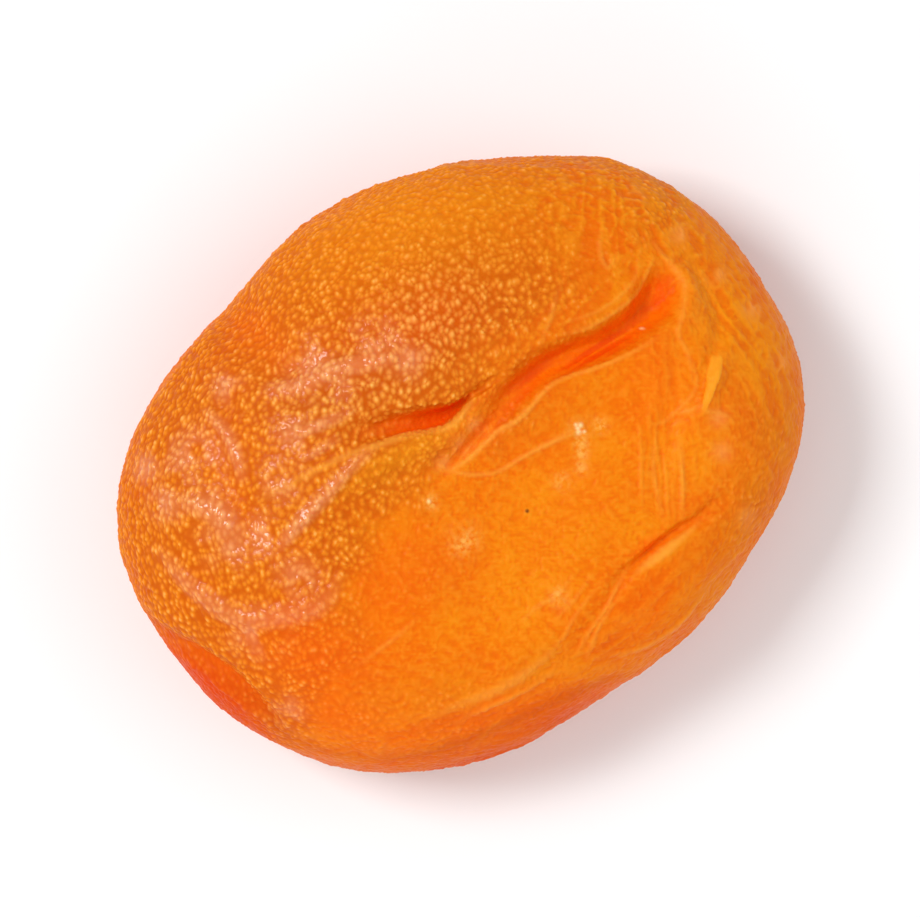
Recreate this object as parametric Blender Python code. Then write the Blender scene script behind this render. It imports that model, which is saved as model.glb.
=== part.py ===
"""A whole apricot, pitted and dried: a flattened pillow of flesh with a deep furrow along its top.

The fruit is one solid. It starts as an icosphere, gets more faces round its creases, and is then moved
onto the fruit's surface by formulas: a pillow with an uneven rim, broad swells and sags, and creases
and ridges that run along short hand-placed routes.

+X runs along the furrow and +Z up through the furrowed face. The origin is under the middle of the
fruit, on the surface that it rests on. Sizes and places in the constants are millimetres.
"""

import math
from collections import namedtuple

import bmesh
import bpy
import numpy as np

MM = 0.001
TURN = 2 * math.pi

# The pillow: its height, its widest ring and the roundness of its two faces
THICKNESS = 16.6
RIM_RADII = (
    20.9, 20.6, 20.4, 18.9, 17.8, 17.3, 16.8, 16.7, 16.8, 18.2, 20.1, 21.1,
    21.05, 21.0, 20.4, 19.5, 18.3, 17.1, 16.6, 16.7, 17.4, 18.3, 19.7, 20.8,
)
RIM_MM_PER_DEGREE = TURN * sum(RIM_RADII) / len(RIM_RADII) / 360
RIM_LEVELS = (7.0, 7.4, 8.2, 8.0, 7.2, 6.6, 7.0, 7.6)
RIM_WAVES = 9
TOP_ROUNDNESS = 2.35
UNDER_ROUNDNESS = 2.15
REST_SINK = 0.16

# The mesh: the sphere's start, then how many reaches from a crease its faces are split
SPHERE_SUBDIVISIONS = 5
SPLIT_REACHES = (1.5, 1.25)

# Low lumps that the flesh dried into: many waves in space, full on the hidden face and slight elsewhere,
# fading to nothing where the fruit rests, between two shares of the way from its middle to its rim
LUMP_SEED = 11
LUMP_WAVES = 24
LUMP_LENGTHS = (6.5, 15.0)
LUMP_HEIGHT = 0.06
LUMP_SHARE_ELSEWHERE = 0.35
REST_SPREAD = (0.28, 0.6)

SKIN_COLOUR = (0.83, 0.21, 0.012, 1.0)
SKIN_ROUGHNESS = 0.42

# A broad swell, or a sag where its height is negative: middle, radii, turn in degrees, height
Swell = namedtuple("Swell", "x y long short turn height")

# A crease, or a ridge where its depths are negative. A route point is (x, y, depth, reach), walked
# so that the upper wall is on the left. Each wall's reach is scaled by above or below, flat is the
# share of it that is floor, lean is how far the upper lip hangs over the crease, and splits is how
# often the sphere's faces are split along it.
Crease = namedtuple("Crease", "route above below flat lean splits", defaults=(1.0, 1.0, 0.0, 0.0, 1))

TOP_SWELLS = (
    Swell(x=-3.0, y=8.6, long=13.0, short=5.6, turn=8.0, height=1.1),
    Swell(x=-14.6, y=-0.5, long=6.5, short=7.5, turn=0.0, height=0.9),
    Swell(x=4.5, y=-3.5, long=10.5, short=6.0, turn=-6.0, height=-2.0),
    Swell(x=15.6, y=-3.6, long=3.6, short=6.0, turn=-12.0, height=0.7),
    Swell(x=3.0, y=-12.4, long=10.0, short=2.6, turn=4.0, height=0.5),
    Swell(x=11.0, y=8.5, long=4.0, short=4.0, turn=0.0, height=-0.5),
    Swell(x=5.2, y=-13.0, long=3.4, short=1.6, turn=9.0, height=-0.3),
)

FURROW = Crease(
    route=(
        (-4.0, -0.2, 0.0, 1.0),
        (-1.4, 0.2, 0.15, 1.0),
        (0.8, 0.65, 0.28, 1.0),
        (2.8, 1.4, 0.45, 1.2),
        (4.8, 2.1, 0.9, 1.4),
        (6.8, 2.5, 1.35, 1.4),
        (8.6, 2.35, 1.5, 1.5),
        (10.8, 2.05, 1.6, 1.4),
        (13.0, 2.25, 1.7, 1.6),
        (14.4, 2.7, 1.6, 1.85),
        (15.4, 3.1, 1.0, 1.8),
        (16.6, 3.6, 0.0, 1.5),
    ),
    flat=0.15, lean=0.3, splits=2,
)
POCKET = Crease(
    route=(
        (-5.8, 4.6, 0.0, 0.9),
        (-3.8, 4.0, 0.5, 1.0),
        (-2.0, 3.5, 1.1, 1.15),
        (-0.6, 3.1, 1.6, 1.15),
        (0.5, 2.95, 1.7, 0.85),
        (1.3, 3.0, 1.1, 0.5),
        (2.1, 3.1, 0.5, 0.35),
        (3.3, 3.2, 0.25, 0.35),
        (4.8, 3.4, 0.0, 0.35),
    ),
    flat=0.2, lean=0.3, splits=2,
)
TONGUE = Crease(
    route=(
        (-9.0, 3.0, 0.0, 1.6),
        (-6.0, 2.5, -0.25, 1.6),
        (-3.0, 2.0, -0.4, 1.4),
        (-0.5, 1.4, -0.45, 1.2),
        (1.4, 1.6, -0.4, 1.1),
        (3.2, 2.3, -0.3, 0.9),
        (5.0, 2.9, 0.0, 0.6),
    ),
)
END_LIP = Crease(
    route=(
        (14.4, 0.0, 0.0, 0.9),
        (15.9, 1.4, -0.2, 0.9),
        (16.8, 2.9, -0.25, 0.9),
        (16.7, 4.5, -0.2, 0.9),
        (15.9, 6.2, 0.0, 0.9),
    ),
)
LONG_WRINKLE = Crease(
    route=(
        (8.6, -8.8, 0.0, 1.1),
        (10.0, -5.9, 0.15, 1.2),
        (12.0, -3.6, 0.25, 1.3),
        (13.6, -1.6, 0.2, 1.2),
        (14.6, 0.6, 0.0, 1.0),
    ),
    below=1.3,
)
FLAP = Crease(
    route=((11.8, -4.8, 0.0, 0.7), (13.6, -4.3, -0.2, 0.7), (15.1, -3.2, -0.35, 0.6), (16.6, -2.0, 0.0, 0.5)),
    below=1.5,
)
SIDE_FOLD = Crease(
    route=(
        (13.2, -9.0, 0.0, 0.8),
        (11.7, -9.5, 0.2, 0.65),
        (10.4, -9.8, 0.4, 0.6),
        (9.3, -9.85, 0.5, 0.6),
        (8.2, -10.0, 0.6, 0.6),
        (7.1, -10.2, 0.65, 0.6),
        (6.1, -10.4, 0.5, 0.6),
        (4.9, -10.6, 0.3, 0.7),
        (3.6, -11.3, 0.18, 0.9),
        (2.0, -12.1, 0.15, 1.1),
        (-1.0, -13.2, 0.15, 1.3),
        (-5.0, -13.5, 0.0, 1.2),
    ),
    above=1.2,
)
WAIST = Crease(
    route=((-4.8, 6.4, 0.0, 2.4), (-6.4, 10.2, 0.4, 2.6), (-7.6, 13.6, 0.5, 2.8), (-8.6, 16.4, 0.0, 2.8)),
)
LOBE_VALLEY = Crease(
    route=((-11.8, 9.0, 0.0, 2.4), (-12.8, 5.6, 0.3, 2.6), (-12.6, 2.2, 0.3, 2.4), (-10.8, -0.4, 0.0, 2.2)),
)
UNDER_EDGE = Crease(
    route=(
        (-21.4, 1.8, 0.0, 0.8),
        (-20.8, 0.3, 0.25, 0.8),
        (-19.7, -2.0, 0.6, 0.9),
        (-18.5, -4.4, 0.7, 0.9),
        (-17.7, -6.7, 0.5, 0.8),
        (-16.8, -8.8, 0.0, 0.7),
    ),
)
END_FOLD = Crease(
    route=(
        (15.4, 6.6, 0.0, 0.9),
        (16.7, 4.6, 0.2, 0.9),
        (17.6, 2.2, 0.3, 1.0),
        (17.4, 0.0, 0.3, 1.0),
        (16.3, -1.4, 0.25, 0.9),
        (14.4, -2.8, 0.15, 0.8),
        (13.0, -4.0, 0.0, 0.7),
    ),
)
TOP_CREASES = (
    FURROW, POCKET, TONGUE, END_LIP, END_FOLD, LONG_WRINKLE, FLAP, SIDE_FOLD, WAIST, LOBE_VALLEY, UNDER_EDGE,
)

# Folds round the sides. Their routes are (arc round the rim in degrees, height, depth, reach).
SIDE_CREASES = (
    Crease(route=((-130, 4.4, 0, 1.3), (-108, 5.6, 0.7, 1.4), (-86, 5.0, 0.9, 1.4), (-66, 3.2, 0, 1.2))),
    Crease(route=((-64, 5.8, 0, 1.2), (-50, 5.0, 0.55, 1.3), (-36, 3.4, 0.7, 1.3), (-24, 2.0, 0, 1.2))),
    Crease(route=((-24, 5.8, 0, 1.2), (-8, 5.0, 0.6, 1.3), (12, 4.2, 0.75, 1.4), (32, 5.2, 0, 1.2))),
    Crease(route=((42, 3.8, 0, 1.2), (56, 4.8, 0.55, 1.3), (70, 4.4, 0.55, 1.3), (80, 3.0, 0, 1.2))),
    Crease(route=((84, 5.4, 0, 1.3), (100, 5.2, 0.7, 1.4), (116, 4.2, 0.8, 1.4), (130, 2.8, 0, 1.3))),
    Crease(route=((130, 5.4, 0, 1.2), (146, 4.4, 0.6, 1.3), (162, 4.8, 0.6, 1.3), (174, 6.0, 0, 1.2))),
    Crease(route=((-176, 3.6, 0, 1.2), (-162, 4.6, 0.6, 1.3), (-148, 4.0, 0.6, 1.3), (-138, 2.6, 0, 1.2))),
)

# The hidden face: soft puckers beside the rest spot
UNDER_CREASES = (
    Crease(route=((-14.5, -4.6, 0, 1.6), (-8.5, -7.2, 0.8, 1.8), (-1.0, -8.4, 0.9, 1.8), (6.5, -8, 0, 1.6))),
    Crease(route=((-3.5, 8.6, 0, 1.5), (3.5, 8.2, 0.8, 1.7), (10.0, 5.6, 0.7, 1.7), (14.0, 1.6, 0, 1.5))),
    Crease(route=((-16.5, 3.0, 0, 1.5), (-12.4, 4.4, 0.6, 1.6), (-9.4, 7.4, 0, 1.5))),
    Crease(route=((9.0, -5.0, 0, 1.5), (12.6, -3.6, 0.5, 1.6), (16.0, -4.6, 0, 1.5))),
    Crease(route=((-7.6, -11.6, 0, 1.4), (-1.6, -12.2, 0.5, 1.5), (3.4, -11.4, 0, 1.4))),
)
ROUTE_STEPS = 8

# A lip is drawn over its crease within these reaches of its edge, fully from this depth on
LIP_WITHIN = 0.6
LIP_BEYOND = 2.2
LIP_DEPTH = 2.0


def smooth(low, high, value):
    """Rises from 0 at low to 1 at high, level at both ends."""
    share = np.clip((value - low) / (high - low), 0.0, 1.0)
    return share * share * (3 - 2 * share)


def around(values, angle):
    """A smooth closed curve through values given at equal angles, from its first few waves."""
    terms = np.fft.rfft(values) / len(values)
    total = np.full_like(angle, terms[0].real)
    for wave in range(1, min(RIM_WAVES, len(values) // 2)):
        total += 2 * (terms[wave] * np.exp(1j * wave * angle)).real
    return total


def pillow(directions):
    """Points of the plain pillow for unit directions from its middle, and its outward normals."""
    flat = np.hypot(directions[:, 0], directions[:, 1])
    up = directions[:, 2]
    angle = np.arctan2(directions[:, 1], directions[:, 0])
    radius = around(RIM_RADII, angle)
    level = around(RIM_LEVELS, angle)
    power = np.where(up > 0, TOP_ROUNDNESS, UNDER_ROUNDNESS)
    size = (flat**power + np.abs(up) ** power) ** (1 / power)
    across, rise = flat / size, up / size

    # Near the poles the rim's uneven level has no say, so that both faces stay one smooth dome
    middle_level = float(np.mean(RIM_LEVELS))
    level = middle_level + (level - middle_level) * smooth(0.0, 1.0, across)
    height = np.where(up > 0, THICKNESS - level, level + REST_SINK)
    points = np.stack(
        [radius * across * np.cos(angle), radius * across * np.sin(angle), level + height * rise], axis=1
    )
    slope = across ** (power - 1) / radius
    normals = np.stack(
        [slope * np.cos(angle), slope * np.sin(angle), np.sign(up) * np.abs(rise) ** (power - 1) / height],
        axis=1,
    )
    return points, normals / np.linalg.norm(normals, axis=1, keepdims=True)


def lumps(points):
    """Height of the low lumps at each point."""
    draw = np.random.default_rng(LUMP_SEED)
    height = np.zeros(len(points))
    for _ in range(LUMP_WAVES):
        heading = draw.normal(size=3)
        heading /= np.linalg.norm(heading)
        length = draw.uniform(*LUMP_LENGTHS)
        start = draw.uniform(0.0, TURN)
        height += LUMP_HEIGHT * np.sin(TURN * (points @ heading) / length + start)
    return height


def swell(points, form):
    """Height that one swell adds at each point, by its place seen from above."""
    turn = math.radians(form.turn)
    x, y = points[:, 0] - form.x, points[:, 1] - form.y
    along = (x * math.cos(turn) + y * math.sin(turn)) / form.long
    across = (y * math.cos(turn) - x * math.sin(turn)) / form.short
    return form.height * np.exp(-(along**2) - across**2)


def smooth_route(route):
    """Closely spaced points on a smooth curve through the route's own, with depth and reach."""
    fixed = np.array([route[0], *route, route[-1]])
    spots = []
    for a, b, c, d in zip(fixed, fixed[1:], fixed[2:], fixed[3:]):
        for t in np.arange(ROUTE_STEPS) / ROUTE_STEPS:
            bend = (2 * a - 5 * b + 4 * c - d) * t + (3 * b - a - 3 * c + d) * t * t
            spots.append(b + 0.5 * t * (c - a + bend))
    spots.append(fixed[-1])
    return np.array(spots)


def beside_route(points, route):
    """Each point's signed distance to the left of a route, with the depth and reach beside it."""
    spots = smooth_route(route)
    steps = np.gradient(spots[:, :2], axis=0)
    offset = points[:, None, :2] - spots[None, :, :2]
    nearest = np.argmin((offset**2).sum(axis=2), axis=1)
    offset = offset[np.arange(len(points)), nearest]
    along = nearest + (offset * steps[nearest]).sum(axis=1) / (steps[nearest] ** 2).sum(axis=1)

    numbers = np.arange(len(spots))
    x, y, depth, reach = (np.interp(along, numbers, column) for column in spots.T)
    ahead = np.stack([np.interp(along, numbers, column) for column in steps.T], axis=1)
    ahead /= np.linalg.norm(ahead, axis=1, keepdims=True)
    from_route = points[:, :2] - np.stack([x, y], axis=1)
    side = ahead[:, 0] * from_route[:, 1] - ahead[:, 1] * from_route[:, 0]
    distance = np.copysign(np.hypot(from_route[:, 0], from_route[:, 1]), side)
    return distance, depth, reach, ahead


def crease(points, form):
    """How deep one crease cuts at each point, and how far its upper lip is drawn over it."""
    distance, depth, reach, ahead = beside_route(points, form.route)
    wall = reach * np.where(distance > 0, form.above, form.below)
    cut = depth * (1 - smooth(form.flat, 1.0, np.abs(distance) / wall))
    from_lip = (distance - wall) / np.where(distance > wall, LIP_BEYOND, LIP_WITHIN) / reach
    draw = form.lean * smooth(0.0, LIP_DEPTH, depth) * np.exp(-(from_lip**2)) * (distance > 0)
    drawn = draw[:, None] * np.stack([ahead[:, 1], -ahead[:, 0]], axis=1)
    return cut, drawn


def fruit(directions):
    """Points on the finished fruit for unit directions from its middle."""
    points, normals = pillow(directions)
    plain = points.copy()
    on_top = smooth(-0.05, 0.3, directions[:, 2])
    under = smooth(0.05, 0.4, -directions[:, 2])
    from_rest = np.hypot(plain[:, 0] / RIM_RADII[0], plain[:, 1] / RIM_RADII[6])
    beside_rest = np.where(directions[:, 2] > 0, 1.0, smooth(*REST_SPREAD, from_rest))
    lumpy = beside_rest * (LUMP_SHARE_ELSEWHERE + (1 - LUMP_SHARE_ELSEWHERE) * under)
    points += (lumpy * lumps(plain))[:, None] * normals
    points[:, 2] += on_top * sum(swell(plain, form) for form in TOP_SWELLS)
    for forms, mask in ((TOP_CREASES, on_top), (UNDER_CREASES, under)):
        for form in forms:
            cut, drawn = crease(plain, form)
            points -= (mask * cut)[:, None] * normals
            points[:, :2] += mask[:, None] * drawn
    degrees = np.degrees(np.arctan2(directions[:, 1], directions[:, 0]))
    unrolled = np.stack([degrees * RIM_MM_PER_DEGREE, plain[:, 2]], axis=1)
    for form in SIDE_CREASES:
        stretch = np.array([RIM_MM_PER_DEGREE, 1.0, 1.0, 1.0])
        cut, _ = crease(unrolled, form._replace(route=form.route * stretch))
        points -= (beside_rest * cut)[:, None] * normals
    points[:, 2] = np.maximum(points[:, 2], 0.0)
    points[:, :2] -= (points[:, :2].max(axis=0) + points[:, :2].min(axis=0)) / 2
    return points


def near_creases(directions, turn):
    """Which directions meet the top beside a crease that still gets this turn of splitting."""
    points, _ = pillow(directions)
    near = np.zeros(len(points), dtype=bool)
    for form in TOP_CREASES:
        if form.splits > turn:
            distance, _, reach, _ = beside_route(points, form.route)
            near |= np.abs(distance) < SPLIT_REACHES[turn] * reach
    return near & (directions[:, 2] > 0.1)


def split(mesh, turn):
    """Splits the edges near the creases once, and puts the new corners back on the sphere."""
    middles = np.array([(edge.verts[0].co + edge.verts[1].co).normalized() for edge in mesh.edges])
    chosen = near_creases(middles, turn)
    edges = [edge for edge, near in zip(mesh.edges, chosen) if near]
    bmesh.ops.subdivide_edges(mesh, edges=edges, cuts=1)
    bmesh.ops.triangulate(mesh, faces=mesh.faces)
    for corner in mesh.verts:
        corner.co.normalize()


def skin():
    """Waxy orange skin."""
    material = bpy.data.materials.new("skin")
    material.use_nodes = True
    shader = material.node_tree.nodes["Principled BSDF"]
    shader.inputs["Base Color"].default_value = SKIN_COLOUR
    shader.inputs["Roughness"].default_value = SKIN_ROUGHNESS
    shader.inputs["Metallic"].default_value = 0.0
    return material


def build():
    for old in list(bpy.data.objects):
        bpy.data.objects.remove(old)
    collection = bpy.data.collections.new("apricot")
    bpy.context.scene.collection.children.link(collection)

    sphere = bmesh.new()
    bmesh.ops.create_icosphere(sphere, subdivisions=SPHERE_SUBDIVISIONS, radius=1.0)
    for turn in range(len(SPLIT_REACHES)):
        split(sphere, turn)
    directions = np.array([corner.co for corner in sphere.verts])
    for corner, place in zip(sphere.verts, fruit(directions) * MM):
        corner.co = place
    mesh = bpy.data.meshes.new("apricot")
    sphere.to_mesh(mesh)
    sphere.free()
    mesh.shade_smooth()
    mesh.materials.append(skin())
    collection.objects.link(bpy.data.objects.new("apricot", mesh))


build()
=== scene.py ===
import math
from collections import namedtuple

import bmesh
import bpy
import numpy as np
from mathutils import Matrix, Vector


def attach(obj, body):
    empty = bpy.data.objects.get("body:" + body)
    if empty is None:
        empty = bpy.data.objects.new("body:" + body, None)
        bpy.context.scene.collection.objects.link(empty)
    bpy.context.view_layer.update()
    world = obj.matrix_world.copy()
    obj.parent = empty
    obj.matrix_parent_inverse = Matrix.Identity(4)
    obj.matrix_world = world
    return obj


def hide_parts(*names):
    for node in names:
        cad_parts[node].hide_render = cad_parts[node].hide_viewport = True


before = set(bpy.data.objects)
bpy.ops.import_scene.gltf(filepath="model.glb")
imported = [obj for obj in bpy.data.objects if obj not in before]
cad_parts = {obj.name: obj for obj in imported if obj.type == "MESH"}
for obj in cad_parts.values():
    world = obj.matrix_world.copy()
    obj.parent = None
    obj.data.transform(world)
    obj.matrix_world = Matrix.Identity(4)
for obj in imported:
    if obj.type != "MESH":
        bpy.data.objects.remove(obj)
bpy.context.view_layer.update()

# The look of a whole dried apricot. The fruit is one closed skin, shaped by the same formulas as the
# solid it stands for, with far more faces, and then given its fine relief: pebbles, fine wrinkles, raised
# ridges and flakes. Its colour holds painted shade, bounced light, highlights and sheen beside its own
# tones. Sizes and places in the constants are millimetres: +X runs along the furrow, +Z up.

MM = 0.001
TURN = 2 * math.pi

# The pillow: its height, its widest ring and the roundness of its two faces
THICKNESS = 16.6
RIM_RADII = (
    20.9, 20.6, 20.4, 18.9, 17.8, 17.3, 16.8, 16.7, 16.8, 18.2, 20.1, 21.1,
    21.05, 21.0, 20.4, 19.5, 18.3, 17.1, 16.6, 16.7, 17.4, 18.3, 19.7, 20.8,
)
RIM_MM_PER_DEGREE = TURN * sum(RIM_RADII) / len(RIM_RADII) / 360
RIM_LEVELS = (7.0, 7.4, 8.2, 8.0, 7.2, 6.6, 7.0, 7.6)
RIM_WAVES = 9
TOP_ROUNDNESS = 2.35
UNDER_ROUNDNESS = 2.15
REST_SINK = 0.16

# How high on the sphere the upper face's forms come in, and how far down the hidden face's do
TOP_FADE = (-0.05, 0.3)
UNDER_FADE = (0.05, 0.4)

# Low lumps that the flesh dried into: many waves in space, full on the hidden face and slight elsewhere,
# fading to nothing where the fruit rests, between two shares of the way from its middle to its rim
LUMP_SEED = 11
LUMP_WAVES = 24
LUMP_LENGTHS = (6.5, 15.0)
LUMP_HEIGHT = 0.06
LUMP_SHARE_ELSEWHERE = 0.35
REST_SPREAD = (0.28, 0.6)

# The mesh: the sphere's start, and the height on it from which its faces are split once more
SPHERE_SUBDIVISIONS = 8
SPLIT_ABOVE = -0.25

# A broad swell, or a sag where its height is negative: middle, radii, turn in degrees, height
Swell = namedtuple("Swell", "x y long short turn height")

# A crease, or a ridge where its depths are negative. A route point is (x, y, depth, reach), walked
# so that the upper wall is on the left. Each wall's reach is scaled by above or below, flat is the
# share of it that is floor, and lean is how far the upper lip hangs over the crease.
Crease = namedtuple("Crease", "route above below flat lean", defaults=(1.0, 1.0, 0.0, 0.0))

TOP_SWELLS = (
    Swell(x=-3.0, y=8.6, long=13.0, short=5.6, turn=8, height=1.1),
    Swell(x=-14.6, y=-0.5, long=6.5, short=7.5, turn=0, height=0.9),
    Swell(x=4.5, y=-3.5, long=10.5, short=6.0, turn=-6, height=-2.0),
    Swell(x=15.6, y=-3.6, long=3.6, short=6.0, turn=-12, height=0.7),
    Swell(x=3.0, y=-12.4, long=10.0, short=2.6, turn=4, height=0.5),
    Swell(x=11.0, y=8.5, long=4.0, short=4.0, turn=0, height=-0.5),
    Swell(x=5.2, y=-13.0, long=3.4, short=1.6, turn=9, height=-0.3),
)

FURROW = Crease(
    route=(
        (-4.0, -0.2, 0.0, 1.0), (-1.4, 0.2, 0.15, 1.0), (0.8, 0.65, 0.28, 1.0), (2.8, 1.4, 0.45, 1.2),
        (4.8, 2.1, 0.9, 1.4), (6.8, 2.5, 1.35, 1.4), (8.6, 2.35, 1.5, 1.5), (10.8, 2.05, 1.6, 1.4),
        (13.0, 2.25, 1.7, 1.6), (14.4, 2.7, 1.6, 1.85), (15.4, 3.1, 1.0, 1.8), (16.6, 3.6, 0.0, 1.5),
    ),
    flat=0.15, lean=0.3,
)
POCKET = Crease(
    route=(
        (-5.8, 4.6, 0.0, 0.9), (-3.8, 4.0, 0.5, 1.0), (-2.0, 3.5, 1.1, 1.15), (-0.6, 3.1, 1.6, 1.15),
        (0.5, 2.95, 1.7, 0.85), (1.3, 3.0, 1.1, 0.5), (2.1, 3.1, 0.5, 0.35), (3.3, 3.2, 0.25, 0.35),
        (4.8, 3.4, 0.0, 0.35),
    ),
    flat=0.2, lean=0.3,
)
TONGUE = Crease(
    route=(
        (-9.0, 3.0, 0.0, 1.6), (-6.0, 2.5, -0.25, 1.6), (-3.0, 2.0, -0.4, 1.4), (-0.5, 1.4, -0.45, 1.2),
        (1.4, 1.6, -0.4, 1.1), (3.2, 2.3, -0.3, 0.9), (5.0, 2.9, 0.0, 0.6),
    ),
)
END_LIP = Crease(
    route=(
        (14.4, 0.0, 0.0, 0.9), (15.9, 1.4, -0.2, 0.9), (16.8, 2.9, -0.25, 0.9), (16.7, 4.5, -0.2, 0.9),
        (15.9, 6.2, 0.0, 0.9),
    ),
)
LONG_WRINKLE = Crease(
    route=(
        (8.6, -8.8, 0.0, 1.1), (10.0, -5.9, 0.15, 1.2), (12.0, -3.6, 0.25, 1.3), (13.6, -1.6, 0.2, 1.2),
        (14.6, 0.6, 0.0, 1.0),
    ),
    below=1.3,
)
FLAP = Crease(
    route=((11.8, -4.8, 0.0, 0.7), (13.6, -4.3, -0.2, 0.7), (15.1, -3.2, -0.35, 0.6), (16.6, -2.0, 0.0, 0.5)),
    below=1.5,
)
SIDE_FOLD = Crease(
    route=(
        (13.2, -9.0, 0.0, 0.8), (11.7, -9.5, 0.2, 0.65), (10.4, -9.8, 0.4, 0.6), (9.3, -9.85, 0.5, 0.6),
        (8.2, -10.0, 0.6, 0.6), (7.1, -10.2, 0.65, 0.6), (6.1, -10.4, 0.5, 0.6), (4.9, -10.6, 0.3, 0.7),
        (3.6, -11.3, 0.18, 0.9), (2.0, -12.1, 0.15, 1.1), (-1.0, -13.2, 0.15, 1.3), (-5.0, -13.5, 0.0, 1.2),
    ),
    above=1.2,
)
WAIST = Crease(
    route=((-4.8, 6.4, 0.0, 2.4), (-6.4, 10.2, 0.4, 2.6), (-7.6, 13.6, 0.5, 2.8), (-8.6, 16.4, 0.0, 2.8)),
)
LOBE_VALLEY = Crease(
    route=((-11.8, 9.0, 0.0, 2.4), (-12.8, 5.6, 0.3, 2.6), (-12.6, 2.2, 0.3, 2.4), (-10.8, -0.4, 0.0, 2.2)),
)
UNDER_EDGE = Crease(
    route=(
        (-21.4, 1.8, 0.0, 0.8), (-20.8, 0.3, 0.25, 0.8), (-19.7, -2.0, 0.6, 0.9), (-18.5, -4.4, 0.7, 0.9),
        (-17.7, -6.7, 0.5, 0.8), (-16.8, -8.8, 0.0, 0.7),
    ),
)
END_FOLD = Crease(
    route=(
        (15.4, 6.6, 0.0, 0.9), (16.7, 4.6, 0.2, 0.9), (17.6, 2.2, 0.3, 1.0), (17.4, 0.0, 0.3, 1.0),
        (16.3, -1.4, 0.25, 0.9), (14.4, -2.8, 0.15, 0.8), (13.0, -4.0, 0.0, 0.7),
    ),
)
TOP_CREASES = (
    FURROW, POCKET, TONGUE, END_LIP, END_FOLD, LONG_WRINKLE, FLAP, SIDE_FOLD, WAIST, LOBE_VALLEY, UNDER_EDGE,
)

# Folds round the sides. Their routes are (arc round the rim in degrees, height, depth, reach).
SIDE_CREASES = (
    Crease(route=((-130, 4.4, 0, 1.3), (-108, 5.6, 0.7, 1.4), (-86, 5.0, 0.9, 1.4), (-66, 3.2, 0, 1.2))),
    Crease(route=((-64, 5.8, 0, 1.2), (-50, 5.0, 0.55, 1.3), (-36, 3.4, 0.7, 1.3), (-24, 2.0, 0, 1.2))),
    Crease(route=((-24, 5.8, 0, 1.2), (-8, 5.0, 0.6, 1.3), (12, 4.2, 0.75, 1.4), (32, 5.2, 0, 1.2))),
    Crease(route=((42, 3.8, 0, 1.2), (56, 4.8, 0.55, 1.3), (70, 4.4, 0.55, 1.3), (80, 3.0, 0, 1.2))),
    Crease(route=((84, 5.4, 0, 1.3), (100, 5.2, 0.7, 1.4), (116, 4.2, 0.8, 1.4), (130, 2.8, 0, 1.3))),
    Crease(route=((130, 5.4, 0, 1.2), (146, 4.4, 0.6, 1.3), (162, 4.8, 0.6, 1.3), (174, 6.0, 0, 1.2))),
    Crease(route=((-176, 3.6, 0, 1.2), (-162, 4.6, 0.6, 1.3), (-148, 4.0, 0.6, 1.3), (-138, 2.6, 0, 1.2))),
)

# The hidden face: soft puckers beside the rest spot
UNDER_CREASES = (
    Crease(route=((-14.5, -4.6, 0, 1.6), (-8.5, -7.2, 0.8, 1.8), (-1.0, -8.4, 0.9, 1.8), (6.5, -8, 0, 1.6))),
    Crease(route=((-3.5, 8.6, 0, 1.5), (3.5, 8.2, 0.8, 1.7), (10.0, 5.6, 0.7, 1.7), (14.0, 1.6, 0, 1.5))),
    Crease(route=((-16.5, 3.0, 0, 1.5), (-12.4, 4.4, 0.6, 1.6), (-9.4, 7.4, 0, 1.5))),
    Crease(route=((9.0, -5.0, 0, 1.5), (12.6, -3.6, 0.5, 1.6), (16.0, -4.6, 0, 1.5))),
    Crease(route=((-7.6, -11.6, 0, 1.4), (-1.6, -12.2, 0.5, 1.5), (3.4, -11.4, 0, 1.4))),
)

# Steps between two points of a route, and the parts in which the mesh is held against it, for memory
ROUTE_STEPS = 8
MESH_PARTS = 32

# A lip is drawn over its crease within these reaches of its edge, fully from this depth on
LIP_WITHIN = 0.6
LIP_BEYOND = 2.2
LIP_DEPTH = 2.0
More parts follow.
